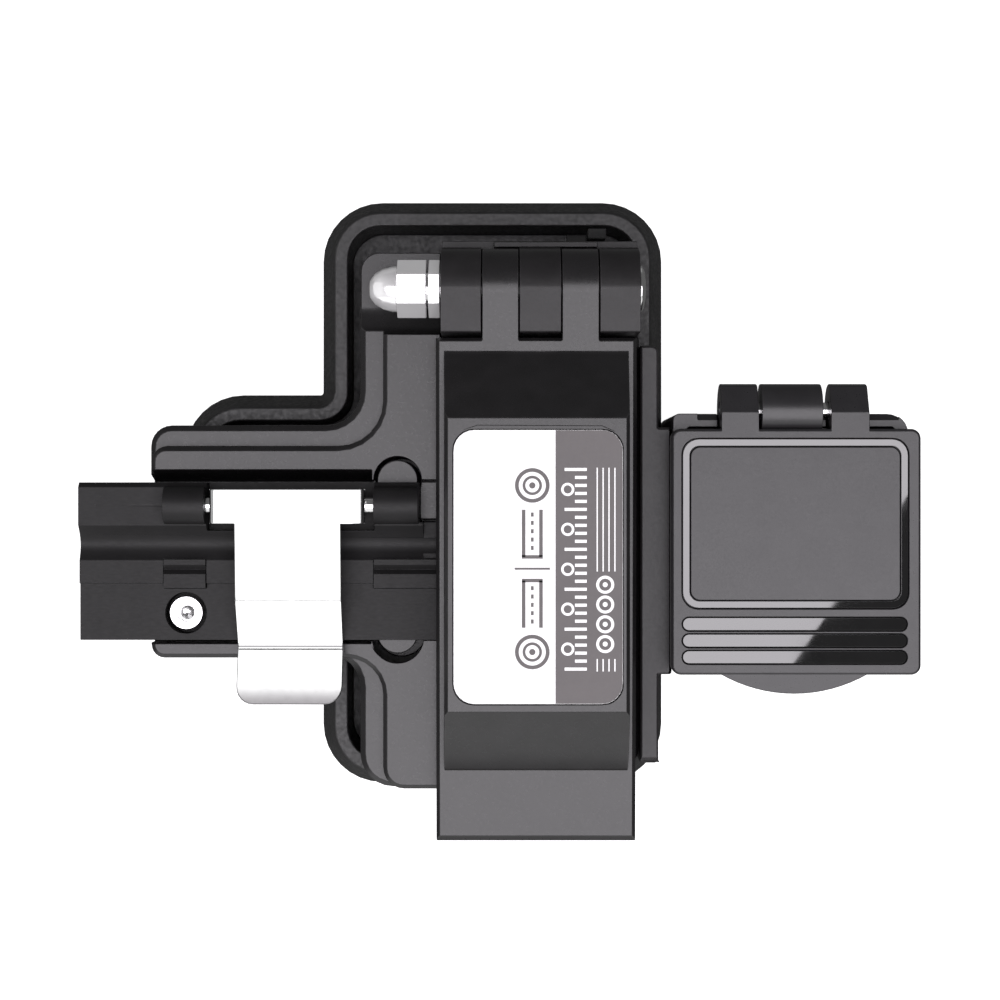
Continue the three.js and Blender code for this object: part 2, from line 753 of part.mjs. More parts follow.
// A compression spring as a solid helix of round wire, standing on the anvil.
function anvilSpring() {
  const low = 35.35;
  const high = 38.25;
  const turns = 3;
  class Helix extends THREE.Curve {
    getPoint(t, target = new THREE.Vector3()) {
      const a = 2 * Math.PI * turns * t;
      return target.set(6.2 + 1.05 * Math.cos(a), FIBRE_Y + 1.05 * Math.sin(a), low + (high - low) * t);
    }
  }
  const wire = outline(circle(0, 0, 0.25, 6));
  return solid(new THREE.ExtrudeGeometry(wire, { steps: turns * 12, extrudePath: new Helix() }));
}

function upperPad([x0, x1]) {
  return raised(rectangle(x0, x1, FIBRE_Y - PADS.half, FIBRE_Y + PADS.half, 0.6), [FIBRE_Z + 0.2, 32]);
}

function lowerPad([x0, x1]) {
  const y = [FIBRE_Y - PADS.half, FIBRE_Y + PADS.half];
  return raised(rectangle(x0, x1, y[0], y[1], 0.6), [28.6, FIBRE_Z - 0.1]);
}

function padSeat([x0, x1]) {
  const y = [FIBRE_Y - PADS.half - 0.8, FIBRE_Y + PADS.half + 0.8];
  return raised(rectangle(x0, x1, y[0], y[1], 1), [DECK_Z, 28.6]);
}

function drivePin() {
  const [y, z] = fingerTip();
  return rodX([FINGER.x[0], 17.2], [y, z], FINGER.pin, 16);
}

function driveRoller() {
  const [y, z] = fingerTip();
  return cut(rodX([14.1, 16.9], [y, z], FINGER.roller, 24), rodX([13, 18], [y, z], FINGER.pin + 0.05, 16));
}

// ---- blade carriage -----------------------------------------------------------------------------
const RAIL = { x: [4.2, 8.2], y: [-34, 26], z: [FLOOR_Z, 7.5] };
const CARRIAGE = { x: [-0.6, 13], y: [-12, 9], z: [9.6, 14] };
const FORK = { x: [14.1, 16.9], low: 12, high: 19.6, wall: 1.5, play: 0.25, offset: 0.06 };

function bladeCarriage() {
  const deck = block(CARRIAGE.x, CARRIAGE.y, CARRIAGE.z);
  const [pinY] = fingerTip();
  const half = FINGER.roller + FORK.play;
  const slotY = pinY - FORK.offset;
  const bridge = block([10, FORK.x[1]], [4, CARRIAGE.y[1]], CARRIAGE.z);
  const bar = block(FORK.x, [4, slotY + half + FORK.wall], [FORK.low, 14]);
  const prongs = block(FORK.x, [slotY - half - FORK.wall, slotY + half + FORK.wall], [FORK.low, FORK.high]);
  const slot = block([14, 17], [slotY - half, slotY + half], [14, 30]);
  const wheelWell = block([BLADE.x - 1.2, BLADE.x + 1.2], [BLADE.y - 9, BLADE.y + 9], [13, 20]);
  return cut(union(deck, bridge, bar, prongs), slot, wheelWell);
}

function railSlider() {
  const body = block([1.4, 11], [-10.5, 7.5], [5.4, CARRIAGE.z[0]]);
  const groove = block([RAIL.x[0] - 0.15, RAIL.x[1] + 0.15], [-20, 20], [FLOOR_Z, RAIL.z[1] + 0.15]);
  return cut(body, groove);
}

function bladeHolder() {
  const upright = profile(
    [
      [BLADE.y - 5, CARRIAGE.z[1]],
      [BLADE.y + 5, CARRIAGE.z[1]],
      [BLADE.y + 3.2, 25, 2.4],
      [BLADE.y - 3.2, 25, 2.4],
    ],
    [7.4, 10.2],
  );
  return cut(upright, rodX([5, 12], [BLADE.y, BLADE.z], 1.55, 20));
}

function bladeWheel() {
  const half = BLADE.thick / 2;
  const rim = 0.15;
  const wheel = turnedX(
    [
      [0, BLADE.x - half],
      [6.6, BLADE.x - half],
      [BLADE.radius, BLADE.x - rim],
      [BLADE.radius, BLADE.x + rim],
      [6.6, BLADE.x + half],
      [0, BLADE.x + half],
    ],
    [BLADE.y, BLADE.z],
    48,
  );
  return cut(wheel, rodX([0, 12], [BLADE.y, BLADE.z], 1.55, 20));
}

function wheelScrew() {
  const at = [BLADE.y, BLADE.z];
  const head = rodX([4.4, BLADE.x - BLADE.thick / 2 - 0.05], at, 2.6, 24);
  const shank = rodX([5, 9.8], at, 1.5, 20);
  return cut(union(head, shank), rodX([4, 4.9], at, 1, 6));
}

// ---- side plate and scrap box -------------------------------------------------------------------
const PLATE_SCREWS = [20.5, -31.5];
const BOX_SCREWS = [8.5, -18.95];

function sidePlate() {
  const s = SIDE;
  const plate = raised(
    [
      [s.outer, 25.2, 1],
      [s.inner, 25.2],
      [s.inner, -37.6],
      [s.outer, -37.6, 0.6],
      [s.outer, -24.2],
      [s.flange, -24.2, 0.4],
      [s.flange, 12.9, 0.4],
      [s.outer, 12.9],
    ],
    [RIM_Z, s.top],
    { run: 0.25, rise: 0.25 },
    4,
  ).intersect(
    profile(
      [
        [-37.6, RIM_Z - 1],
        [30, RIM_Z - 1],
        [30, s.top],
        [-37.6, s.top, 1.3],
      ],
      [s.inner - 1, s.flange + 1],
    ),
  );
  const bodyHoles = PLATE_SCREWS.map((y) =>
    union(rodX([20, 30], [y, 23], 1.1, 12), rodX([22.6, 30], [y, 23], 2.2, 16)),
  );
  const boxHoles = BOX_SCREWS.map((y) => rodX([23.2, 30], [y, 20], 1.1, 12));
  return cut(plate, ...bodyHoles, ...boxHoles);
}

function plateScrew() {
  const head = rodX([22.6, 23.7], [0, 0], 2, 16);
  const shank = rodX([18.6, 22.6], [0, 0], 1, 12);
  return cut(union(head, shank), rodX([23, 24], [0, 0], 0.9, 6));
}

function boxScrew() {
  const head = rodX([BOX.left + BOX.wall, BOX.left + BOX.wall + 1], [0, 0], 1.6, 16);
  const shank = rodX([23.6, BOX.left + BOX.wall], [0, 0], 1, 12);
  return cut(union(head, shank), rodX([BOX.left + BOX.wall + 0.5, 32], [0, 0], 0.8, 6));
}

function scrapBox() {
  const b = BOX;
  const outer = raised(
    [
      [b.right, b.back, 3],
      [b.left, b.back, 1],
      [b.left, b.front, 1],
      [b.right, b.front, 3],
    ],
    [b.under, b.top],
  );
  const inside = rectangle(b.left + b.wall, b.right - b.wall, b.front + b.wall, b.back - b.wall, 0.6);
  const hollow = raised(inside, [b.under + b.wall, b.top + 1]);
  const entry = block([20, b.left + b.wall + 0.2], [FIBRE_Y - 6.5, FIBRE_Y + 6.5], [29.2, 40]);
  const ribs = [-1, 1].map((side) => {
    const inner = FIBRE_Y + side * (FEED.half + 0.4);
    const outerFace = inner + side * 2;
    return block(
      [b.left + 1, FEED.x + 3],
      [Math.min(inner, outerFace), Math.max(inner, outerFace)],
      [b.under + 1, 29.2],
    );
  });
  const shaftHole = rodY([-18, 1], [FEED.x, FEED.z], FEED.shaft + 0.05, 16);
  const axis = [LID_HINGE.y, LID_HINGE.z];
  const knuckleSpan = [39.2, 48.2];
  const knuckle = union(
    rodX(knuckleSpan, axis, LID_HINGE.radius, 32),
    profile(
      [
        [b.back - 1, 22],
        [LID_HINGE.y + 3.9, 31],
        [LID_HINGE.y, 33],
        [b.back - 1, 33],
      ],
      knuckleSpan,
    ),
  );
  const lugRoom = LID_LUGS.map(([x0, x1]) =>
    rodX([x0 - 0.25, x1 + 0.25], axis, LID_HINGE.radius + 0.3, 32),
  );
  const pinHole = rodX([30, 60], axis, LID_HINGE.pin + 0.05, 20);
  const boxScrewHoles = BOX_SCREWS.map((y) => rodX([20, b.left + b.wall + 1], [y, 20], 1.1, 12));
  const walls = cut(outer, hollow, entry);
  return cut(union(walls, ...ribs, knuckle), shaftHole, ...lugRoom, pinHole, ...boxScrewHoles);
}

function lidHingePin() {
  return rodX([33.5, 54.7], [LID_HINGE.y, LID_HINGE.z], LID_HINGE.pin, 20);
}

function inlayRing(grow, z) {
  const i = INLAY;
  const inner = i.width + grow;
  const outer = rectangle(i.left - grow, i.right + grow, i.front - grow, i.back + grow, 2.4);
  const hole = rectangle(i.left + inner, i.right - inner, i.front + inner, i.back - inner, 1.4);
  return cut(raised(outer, z), raised(hole, [z[0] - 1, z[1] + 1]));
}

function gripBar(index, grow, z) {
  const y = BARS.first - index * BARS.pitch;
  const half = BARS.width / 2 + grow;
  return raised(rectangle(INLAY.left - grow, BARS.right + grow, y - half, y + half, half - 0.01), z);
}

function boxLid() {
  const l = LID;
  const lip = { x: 43.9, half: 10.7, depth: 2.8 };
  const lipRadius = (lip.half ** 2 + lip.depth ** 2) / (2 * lip.depth);
  const plate = raised(rectangle(l.left, l.right, l.front, l.back, 1.4), [l.under, l.top], {
    run: 0.3,
    rise: 0.3,
  });
  const lipDisc = rodZ([l.under, l.top - 0.2], [lip.x, l.front - lip.depth + lipRadius], lipRadius, 96);
  const thumbLip = lipDisc.intersect(block([lip.x - 20, lip.x + 20], [-40, l.front + 2], [30, 40]));
  const hollow = raised(rectangle(l.left + 1.8, l.right - 1.8, l.front + 1.8, l.back - 1.8, 1), [31, 34.8]);
  const axis = [LID_HINGE.y, LID_HINGE.z];
  const lugSlope = profile(
    [
      [LID_HINGE.y - 0.3, l.top],
      [LID_HINGE.y + 3.6, l.top - 2.25],
      [LID_HINGE.y + 9, l.top - 2.25],
      [LID_HINGE.y + 9, l.top + 5],
      [LID_HINGE.y - 0.3, l.top + 5],
    ],
    [l.left, l.right],
  );
  const lugs = LID_LUGS.map((span) =>
    cut(
      union(rodX(span, axis, LID_HINGE.radius, 32), block(span, [l.back - 1.5, LID_HINGE.y], [l.under, l.top])),
      lugSlope,
    ),
  );
  const ribs = [-1, 1].map((side) => {
    const inner = FIBRE_Y + side * (PINCH.half + 0.3);
    const far = inner + side * 1.4;
    return block(
      [PINCH.x - 1.8, PINCH.x + 1.8],
      [Math.min(inner, far), Math.max(inner, far)],
      [30.7, l.top - 0.6],
    );
  });
  const knuckleRoom = rodX([38.9, 48.5], axis, LID_HINGE.radius + 0.3, 32);
  const pinHole = rodX([30, 60], axis, LID_HINGE.pin + 0.08, 20);
  const shaftHole = rodY([-18, 1], [PINCH.x, PINCH.z], PINCH.shaft + 0.05, 16);
  const seats = [inlayRing(0.12, [l.top - INLAY.depth, l.top + 1])];
  for (let k = 0; k < BARS.count; k++) {
    seats.push(gripBar(k, 0.1, [l.top - INLAY.depth, l.top + 1]));
  }
  const shell = cut(union(plate, thumbLip), hollow, knuckleRoom);
  return cut(union(shell, ...lugs, ...ribs), pinHole, shaftHole, ...seats);
}

function roller({ x, z, radius, half, shaft }) {
  const tyre = rodY([FIBRE_Y - half, FIBRE_Y + half], [x, z], radius, 32);
  return cut(tyre, rodY([-30, 10], [x, z], shaft + 0.05, 16));
}

function rollerShaft({ x, z, half, shaft }, overhang) {
  return rodY([FIBRE_Y - half - overhang, FIBRE_Y + half + overhang], [x, z], shaft, 16);
}

// ---- materials ----------------------------------------------------------------------------------
const paint = (color, roughness, metalness) => new THREE.MeshStandardMaterial({ color, roughness, metalness });
const MATERIALS = {
  casting: paint(0x6e6b6e, 0.5, 0.3),
  tray: paint(0x2b2a2b, 0.7, 0),
  anodised: paint(0x343233, 0.45, 0.4),
  plated: paint(0xe8e8ea, 0.18, 1),
  steel: paint(0x9a9a9c, 0.35, 1),
  rubber: paint(0x1b1b1c, 0.85, 0),
  plastic: paint(0x66636a, 0.55, 0),
  inlay: paint(0x2a282b, 0.08, 0),
  label: paint(0xf4f4f4, 0.4, 0),
  carbide: paint(0x7c7d80, 0.25, 1),
};

function piece(name, material, body, place = [0, 0, 0]) {
  const made = body.getMesh();
  const geometry = new THREE.BufferGeometry();
  geometry.setAttribute("position", new THREE.BufferAttribute(made.vertProperties, 3));
  geometry.setIndex(new THREE.BufferAttribute(made.triVerts, 1));
  geometry.computeVertexNormals();
  const mesh = new THREE.Mesh(geometry, MATERIALS[material]);
  mesh.name = name;
  mesh.position.set(...place);
  return mesh;
}

function group(...meshes) {
  const made = new THREE.Group();
  made.add(...meshes);
  return made;
}

// ---- assembly -----------------------------------------------------------------------------------
const base = group(
  piece("base_tray", "tray", baseTray()),
  piece("main_body", "casting", mainBody()),
  piece("hinge_bracket", "casting", hingeBracket()),
  piece("hinge_bolt", "plated", hingeBolt()),
  piece("jam_nut", "plated", jamNut()),
  piece("acorn_nut", "plated", acornNut()),
  piece("fibre_guide", "anodised", fibreGuide()),
  piece("guide_screw", "plated", guideScrew()),
  piece("clamp_magnet", "steel", rodZ([27.2, 29.2], [MAGNET.x, MAGNET.y], MAGNET.radius)),
  piece("clamp_pin", "plated", rodX([-49, -12.2], [CLAMP.y, CLAMP.z], CLAMP.pin, 20)),
  piece("lower_pad_left", "rubber", lowerPad(PADS.left)),
  piece("lower_pad_right", "rubber", lowerPad(PADS.right)),
  piece("pad_seat_left", "steel", padSeat(PADS.left)),
  piece("pad_seat_right", "steel", padSeat(PADS.right)),
  piece("slide_rail", "steel", block(RAIL.x, RAIL.y, RAIL.z)),
  piece("side_plate", "casting", sidePlate()),
  piece("scrap_box", "plastic", scrapBox()),
  piece("lid_hinge_pin", "plated", lidHingePin()),
);
INSERTS.forEach(([name, span]) => base.add(piece(name, "anodised", vGrooveInsert(span))));
STUDS.forEach(({ name, y }) => base.add(piece(name, "casting", locatingStud(y))));
FEET.forEach((at, i) => base.add(piece(`foot_${i + 1}`, "rubber", foot(), [...at, 0])));
BASE_SCREWS.forEach((at, i) => base.add(piece(`base_screw_${i + 1}`, "steel", baseScrew(), [...at, 0])));
PLATE_SCREWS.forEach((y, i) => base.add(piece(`plate_screw_${i + 1}`, "steel", plateScrew(), [0, y, 23])));
BOX_SCREWS.forEach((y, i) => base.add(piece(`box_screw_${i + 1}`, "steel", boxScrew(), [0, y, 20])));

const arm = group(
  piece("arm_frame", "casting", armFrame()),
  piece("arm_cover", "casting", armCover()),
  piece("label_plate", "label", labelPlate()),
  piece("upper_clamp_block", "anodised", upperClampBlock()),
  piece("upper_pad_left", "rubber", upperPad(PADS.left)),
  piece("upper_pad_right", "rubber", upperPad(PADS.right)),
  piece("anvil_spring", "steel", anvilSpring()),
  piece("drive_pin", "steel", drivePin()),
  piece("drive_roller", "plated", driveRoller()),
);
const anvilGroup = group(piece("anvil", "steel", anvil()));
const clamp = group(piece("clamp_plate", "plated", clampPlate()), piece("clamp_pad", "rubber", clampPad()));
const carriage = group(
  piece("blade_carriage", "anodised", bladeCarriage()),
  piece("rail_slider", "steel", railSlider()),
  piece("blade_holder", "anodised", bladeHolder()),
);
const wheel = group(
  piece("blade_wheel", "carbide", bladeWheel()),
  piece("wheel_screw", "steel", wheelScrew()),
);
const lid = group(
  piece("box_lid", "plastic", boxLid()),
  piece("lid_inlay", "inlay", inlayRing(0, [LID.top - INLAY.depth, LID.top - 0.05])),
);
for (let k = 0; k < BARS.count; k++) {
  lid.add(piece(`grip_bar_${k + 1}`, "inlay", gripBar(k, 0, [LID.top - INLAY.depth, LID.top - 0.05])));
}
const feed = group(
  piece("feed_roller", "rubber", roller(FEED)),
  piece("feed_shaft", "steel", rollerShaft(FEED, 2.3)),
);
const pinch = group(
  piece("pinch_roller", "rubber", roller(PINCH)),
  piece("pinch_shaft", "steel", rollerShaft(PINCH, 1.6)),
);

export default group(base, arm, anvilGroup, clamp, carriage, wheel, lid, feed, pinch);
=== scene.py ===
# Optical fibre cleaver: the visual model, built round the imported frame. Metres, +Z up, in the frame's axes.
import json
import math

import bmesh
import bpy
import numpy as np
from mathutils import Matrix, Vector


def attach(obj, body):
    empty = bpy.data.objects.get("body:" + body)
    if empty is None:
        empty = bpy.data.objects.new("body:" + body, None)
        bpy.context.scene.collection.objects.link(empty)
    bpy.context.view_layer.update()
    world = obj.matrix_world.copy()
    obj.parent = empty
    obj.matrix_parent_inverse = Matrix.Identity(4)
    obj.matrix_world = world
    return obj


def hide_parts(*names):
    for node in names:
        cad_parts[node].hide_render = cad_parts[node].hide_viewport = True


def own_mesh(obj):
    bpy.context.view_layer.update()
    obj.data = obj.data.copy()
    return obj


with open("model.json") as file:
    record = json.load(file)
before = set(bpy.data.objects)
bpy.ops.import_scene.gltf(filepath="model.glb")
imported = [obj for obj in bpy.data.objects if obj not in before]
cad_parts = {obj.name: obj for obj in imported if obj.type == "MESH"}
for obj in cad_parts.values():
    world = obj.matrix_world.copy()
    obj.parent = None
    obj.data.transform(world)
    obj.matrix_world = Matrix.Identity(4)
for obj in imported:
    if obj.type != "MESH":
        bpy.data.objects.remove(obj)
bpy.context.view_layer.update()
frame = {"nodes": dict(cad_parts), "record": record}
NODES = frame["nodes"]
RECORD = frame["record"]
SLOT_OF = {s["node"]: s["material_slot"] for s in RECORD["subparts"]}
BODY_OF = {n: b for b, members in RECORD["behaviour"]["bodies"].items() for n in members}
MM = 0.001
scene = bpy.context.scene


# ---- camera, floor and light ---------------------------------------------------------------------
CAMERA_AT = Vector((0.0005, 0.002, 0.380))
CAMERA_LENS = 84.0  # with the 36 mm sensor, 150 mm across at the height of the fibre
PAPER_GLOW = 0.95
STUDIO_TINT = (1.0, 0.968, 1.015)
WORLD_LIGHT = 0.15
WALLS = (  # brightness, level axis, and where the wall begins and is full along that axis and upwards
    (1.1, "Y", (-0.45, -0.80), (-0.50, -0.25)),
    (0.4, "X", (-0.35, -0.75), (-0.10, 0.15)),
)
KEY_AT = (0.0, -0.36, 1.2)
KEY_SIZE = (1.7, 1.1)
KEY_RADIANCE = 4.0
CLAMP_RADIANCE = 1.5  # dimmer, so that the edges of the bright clamp stay grey
GLOSS_TURN = math.radians(-34.2)  # turns the edge that the gloss pieces mirror
GLOSS_EDGE_OUT = 0.2156  # from the middle of the object to that edge
GLOSS_SHIFT = -0.28  # along that edge
GLOSS_SIZE = (0.62, 1.0)
GLOSS_RADIANCE = 5.9


def make_camera():
    data = bpy.data.cameras.new("camera")
    data.lens = CAMERA_LENS
    data.sensor_width = 36.0
    data.clip_start = 0.01
    data.clip_end = 50.0
    camera = bpy.data.objects.new("camera", data)
    camera.location = CAMERA_AT
    scene.collection.objects.link(camera)
    scene.camera = camera
    scene.view_settings.view_transform = "Standard"
    scene.view_settings.look = "None"


def area_light(name, at, target, size, radiance, turn=0.0, color=(1.0, 1.0, 1.0)):
    """A rectangular softbox at a place, facing a target, as bright as its radiance says."""
    data = bpy.data.lights.new(name, "AREA")
    data.shape = "RECTANGLE"
    data.size, data.size_y = size
    data.energy = radiance * math.pi * size[0] * size[1]
    data.color = color
    light = bpy.data.objects.new(name, data)
    light.location = at
    aim = (Vector(target) - Vector(at)).to_track_quat("-Z", "Y")
    light.rotation_euler = aim.to_euler()
    light.rotation_euler.rotate_axis("Z", turn)
    scene.collection.objects.link(light)
    return light


def ramp(nodes, links, value, low, high):
    """A smooth step of a value: 0 at low, 1 at high."""
    step = nodes.new("ShaderNodeMapRange")
    step.interpolation_type = "SMOOTHSTEP"
    step.inputs["From Min"].default_value = low
    step.inputs["From Max"].default_value = high
    links.new(value, step.inputs["Value"])
    return step.outputs[0]


def calculated(nodes, links, operation, first, second):
    """The result of a calculation on two values, each a socket or a number."""
    node = nodes.new("ShaderNodeMath")
    node.operation = operation
    for socket, value in zip(node.inputs, (first, second)):
        if isinstance(value, float):
            socket.default_value = value
        else:
            links.new(value, socket)
    return node.outputs[0]


def along(nodes, links, place, axis):
    """One coordinate of a place."""
    axes = nodes.new("ShaderNodeSeparateXYZ")
    links.new(place, axes.inputs[0])
    return axes.outputs[axis]


def make_world():
    """White behind the floor; in reflections a grey studio, bright in front and dimmer at the left."""
    world = bpy.data.worlds.new("studio")
    scene.world = world
    world.use_nodes = True
    nodes, links = world.node_tree.nodes, world.node_tree.links
    nodes.clear()
    direction = nodes.new("ShaderNodeTexCoord").outputs["Generated"]
    level = WORLD_LIGHT
    for brightness, axis, across, upwards in WALLS:
        begins = ramp(nodes, links, along(nodes, links, direction, axis), *across)
        rises = ramp(nodes, links, along(nodes, links, direction, "Z"), *upwards)
        wall = calculated(nodes, links, "MULTIPLY", begins, brightness)
        wall = calculated(nodes, links, "MULTIPLY", rises, wall)
        level = calculated(nodes, links, "ADD", wall, level)
    lit = nodes.new("ShaderNodeBackground")
    links.new(level, lit.inputs["Strength"])
    seen = nodes.new("ShaderNodeBackground")
    seen.inputs["Color"].default_value = (1, 1, 1, 1)
    mix = nodes.new("ShaderNodeMixShader")
    links.new(nodes.new("ShaderNodeLightPath").outputs["Is Camera Ray"], mix.inputs["Fac"])
    links.new(lit.outputs[0], mix.inputs[1])
    links.new(seen.outputs[0], mix.inputs[2])
    links.new(mix.outputs[0], nodes.new("ShaderNodeOutputWorld").inputs["Surface"])


def make_floor():
    """White paper that glows, so no shadow greys it, and that the object neither mirrors nor is lit by."""
    bpy.ops.mesh.primitive_plane_add(size=12.0, location=(0, 0, 0))
    floor = bpy.context.object
    floor.name = "studio_floor"
    mat, _, _, shader = new_shader("studio_paper")
    shader.inputs["Base Color"].default_value = (0.5, 0.5, 0.5, 1)
    shader.inputs["Roughness"].default_value = 0.9
    shader.inputs["Specular IOR Level"].default_value = 0.0
    shader.inputs["Emission Color"].default_value = (1, 1, 1, 1)
    shader.inputs["Emission Strength"].default_value = PAPER_GLOW
    floor.data.materials.append(mat)
    floor.visible_glossy = False
    floor.visible_diffuse = False
    floor.visible_shadow = False


def only(light, name, pieces):
    """Makes a light shine on the given pieces alone."""
    lit = bpy.data.collections.new(name)
    for piece in pieces:
        lit.objects.link(piece)
    light.light_linking.receiver_collection = lit


def make_lights(gloss, clamp, nuts):
    """A broad key for most pieces, a dimmer one for the clamp, a turned one whose edge shows in the gloss
    pieces, and cards that the clamp and the nuts mirror."""
    under_key = (KEY_AT[0], KEY_AT[1], 0)
    key = area_light("key", KEY_AT, under_key, KEY_SIZE, KEY_RADIANCE, color=STUDIO_TINT)

    across = Vector((math.cos(GLOSS_TURN), math.sin(GLOSS_TURN)))
    beside = Vector((-across.y, across.x))
    middle = across * (GLOSS_EDGE_OUT - GLOSS_SIZE[0] / 2) + beside * GLOSS_SHIFT
    gloss_key = area_light("key_gloss", (middle.x, middle.y, KEY_AT[2]), (middle.x, middle.y, 0), GLOSS_SIZE,
                           GLOSS_RADIANCE, GLOSS_TURN, STUDIO_TINT)
    only(gloss_key, "gloss_pieces", gloss)
    only(area_light("key_clamp", KEY_AT, under_key, KEY_SIZE, CLAMP_RADIANCE), "clamp_top", clamp)

    cards = (  # name, place, aim and size in metres, radiance, the lit collection and its pieces
        ("card_back", (0.0, 0.85, 0.9), (0, 0, 0.03), (1.6, 0.7), 1.5, "clamp_back", clamp),
        ("card_front", (0.0, -1.1, 0.65), (0, 0, 0.03), (1.6, 0.5), 1.0, "clamp_front", clamp),
        ("card_low", (-0.1, 0.45, -0.1), (-0.02, 0.034, 0.03), (0.9, 0.3), 0.17, "nuts_back", nuts),
        ("card_left", (-0.7, 0.0, 0.35), (0, 0.03, 0.03), (0.9, 0.6), 0.35, "nuts_left", nuts),
    )
    for name, at, aim, size, radiance, lit, lit_pieces in cards:
        only(area_light(name, at, aim, size, radiance), lit, lit_pieces)

    others = [o for o in scene.objects if o.type == "MESH" and o not in gloss and o not in clamp]
    only(key, "other_pieces", others)


# ---- materials -----------------------------------------------------------------------------------
BUMP_STRENGTH = 0.6


def new_shader(name):
    mat = bpy.data.materials.new(name)
    mat.use_nodes = True
    nodes = mat.node_tree.nodes
    links = mat.node_tree.links
    nodes.clear()
    out = nodes.new("ShaderNodeOutputMaterial")
    shader = nodes.new("ShaderNodeBsdfPrincipled")
    links.new(shader.outputs[0], out.inputs["Surface"])
    return mat, nodes, links, shader


def noise(nodes, links, source, scale, detail=3.0, stretch=None):
    """A noise field over the object's own coordinates, stretched along an axis for brushed metal."""
    if stretch:
        mapping = nodes.new("ShaderNodeMapping")
        mapping.inputs["Scale"].default_value = stretch
        links.new(source, mapping.inputs["Vector"])
        source = mapping.outputs[0]
    field = nodes.new("ShaderNodeTexNoise")
    field.inputs["Scale"].default_value = scale
    field.inputs["Detail"].default_value = detail
    links.new(source, field.inputs["Vector"])
    return field.outputs["Fac"]


def spread(nodes, links, value, low, high, start=0.3, stop=0.7):
    """Turns a noise value into the range from low to high."""
    ranger = nodes.new("ShaderNodeMapRange")
    ranger.inputs["From Min"].default_value = start
    ranger.inputs["From Max"].default_value = stop
    ranger.inputs["To Min"].default_value = low
    ranger.inputs["To Max"].default_value = high
    links.new(value, ranger.inputs["Value"])
    return ranger.outputs[0]


def blended(nodes, links, factor, a, b):
    mix = nodes.new("ShaderNodeMix")
    mix.data_type = "RGBA"
    for socket, value in ((mix.inputs[6], a), (mix.inputs[7], b)):
        if isinstance(value, tuple):
            socket.default_value = (*value, 1)
        else:
            links.new(value, socket)
    links.new(factor, mix.inputs[0])
    return mix.outputs[2]


def worn_edges(nodes, links, patches, width):
    """How far the coating is rubbed off: along the edges, and in patches."""
    rounded = nodes.new("ShaderNodeBevel")
    rounded.samples = 4
    rounded.inputs["Radius"].default_value = width * MM
    flat = nodes.new("ShaderNodeNewGeometry")
    dot = nodes.new("ShaderNodeVectorMath")
    dot.operation = "DOT_PRODUCT"
    links.new(rounded.outputs[0], dot.inputs[0])
    links.new(flat.outputs["Normal"], dot.inputs[1])
    edge = spread(nodes, links, dot.outputs["Value"], 1, 0, 0.80, 0.99)
    return calculated(nodes, links, "MULTIPLY", edge, spread(nodes, links, patches, 0.1, 0.8, 0.4, 0.65))


def strip(nodes, links, value, start, stop):
    """1 where a coordinate lies between two places in mm, 0 elsewhere."""
    inside = nodes.new("ShaderNodeMath")
    inside.operation = "COMPARE"
    inside.inputs[1].default_value = (start + stop) / 2 * MM
    inside.inputs[2].default_value = (stop - start) / 2 * MM
    links.new(value, inside.inputs[0])
    return inside.outputs[0]


def finish(name, dark, light, rough, metallic=0.0, specular=0.5, patch=260, grain=3200, grain_depth=0.02,
           stretch=None, wear=None, wear_width=0.25, ior=1.5, shade_band=None, shade_fade=None):
    """A surface with patchy colour, uneven gloss and a fine grain. Where asked, its edges are worn to another
    colour, and painted shade is laid in: a dark stripe (axis, from, to in mm, colour) crosses it, or it
    darkens (the same) to a colour at an end."""
    mat, nodes, links, shader = new_shader(name)
    place = nodes.new("ShaderNodeTexCoord").outputs["Object"]
    patches = noise(nodes, links, place, patch, 4)
    fine = noise(nodes, links, place, grain, 2, stretch)
    color = blended(nodes, links, spread(nodes, links, patches, 0, 1), dark, light)
    if wear:
        color = blended(nodes, links, worn_edges(nodes, links, patches, wear_width), color, wear)
    # painted shade: a stripe of darker colour across the surface
    if shade_band:
        axis, start, stop, shade_tone = shade_band
        inside = strip(nodes, links, along(nodes, links, place, axis), start, stop)
        color = blended(nodes, links, inside, color, shade_tone)
    # painted shade: the colour darkens towards one end
    if shade_fade:
        axis, start, stop, shade_tone = shade_fade
        towards = ramp(nodes, links, along(nodes, links, place, axis), start * MM, stop * MM)
        color = blended(nodes, links, towards, color, shade_tone)
    links.new(color, shader.inputs["Base Color"])
    links.new(spread(nodes, links, fine, *rough), shader.inputs["Roughness"])
    bump = nodes.new("ShaderNodeBump")
    bump.inputs["Strength"].default_value = BUMP_STRENGTH
    bump.inputs["Distance"].default_value = grain_depth * MM
    links.new(fine, bump.inputs["Height"])
    links.new(bump.outputs[0], shader.inputs["Normal"])
    shader.inputs["Metallic"].default_value = metallic
    shader.inputs["Specular IOR Level"].default_value = specular
    shader.inputs["IOR"].default_value = ior
    return mat


